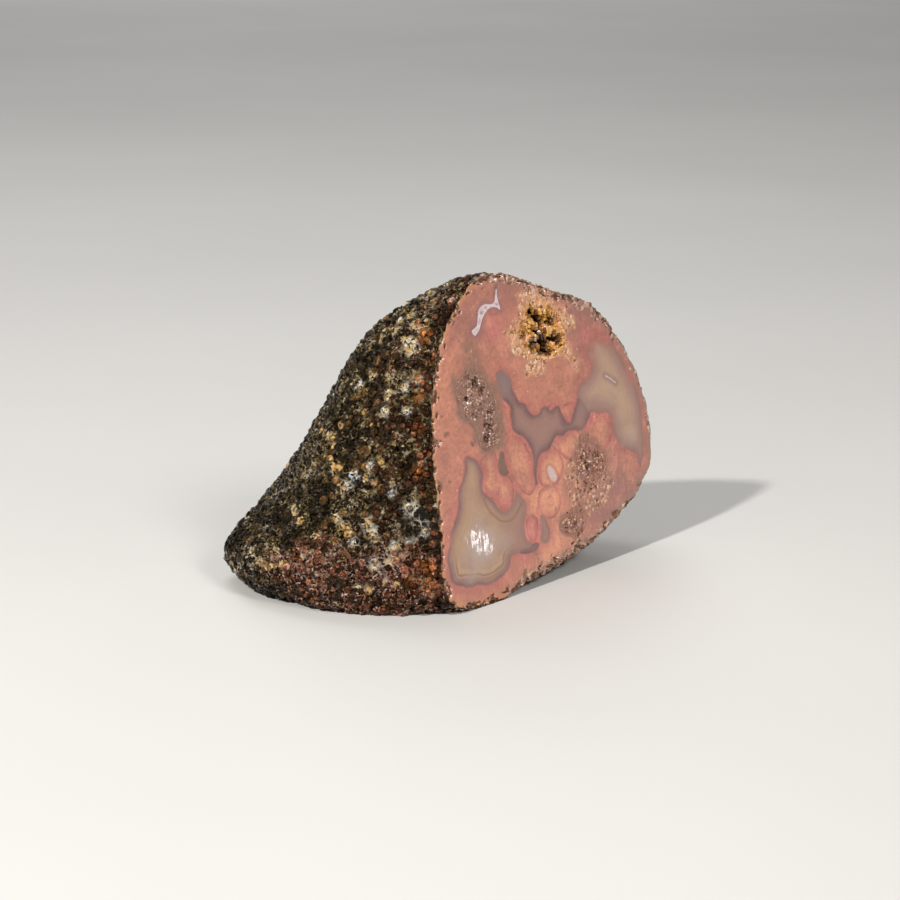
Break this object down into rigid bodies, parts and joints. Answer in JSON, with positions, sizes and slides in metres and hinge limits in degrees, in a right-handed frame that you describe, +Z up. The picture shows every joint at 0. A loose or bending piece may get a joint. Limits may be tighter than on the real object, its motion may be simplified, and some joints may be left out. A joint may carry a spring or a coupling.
{
  "type": "agate nodule half",
  "caption": "Half of an agate nodule: a beaded dark rind on a toe-shaped body, sawn and polished flat in front, with crystal-lined hollows in the cut face.",
  "frame": {"origin": "middle of the object's box, on the plane that it rests on", "axes": "+Z up, -Y towards the viewer of the polished cut face, +X to the right along that face"},
  "size_m": [0.0794, 0.048, 0.0597],
  "materials": {
    "agate": "polished cut face, beaded glossy dark brown rind",
    "golden_quartz": "sparkling golden crystals",
    "smoky_quartz": "sparkling grey-brown crystals",
    "rose_quartz": "sparkling rose and gold crystals",
    "cream_quartz": "sparkling cream crystals"
  },
  "bodies": {
    "root": {"agate_nodule": "agate", "golden_druse": "golden_quartz", "smoky_druse": "smoky_quartz", "rose_druse": "rose_quartz", "cream_druse": "cream_quartz"}
  },
  "joints": []
}
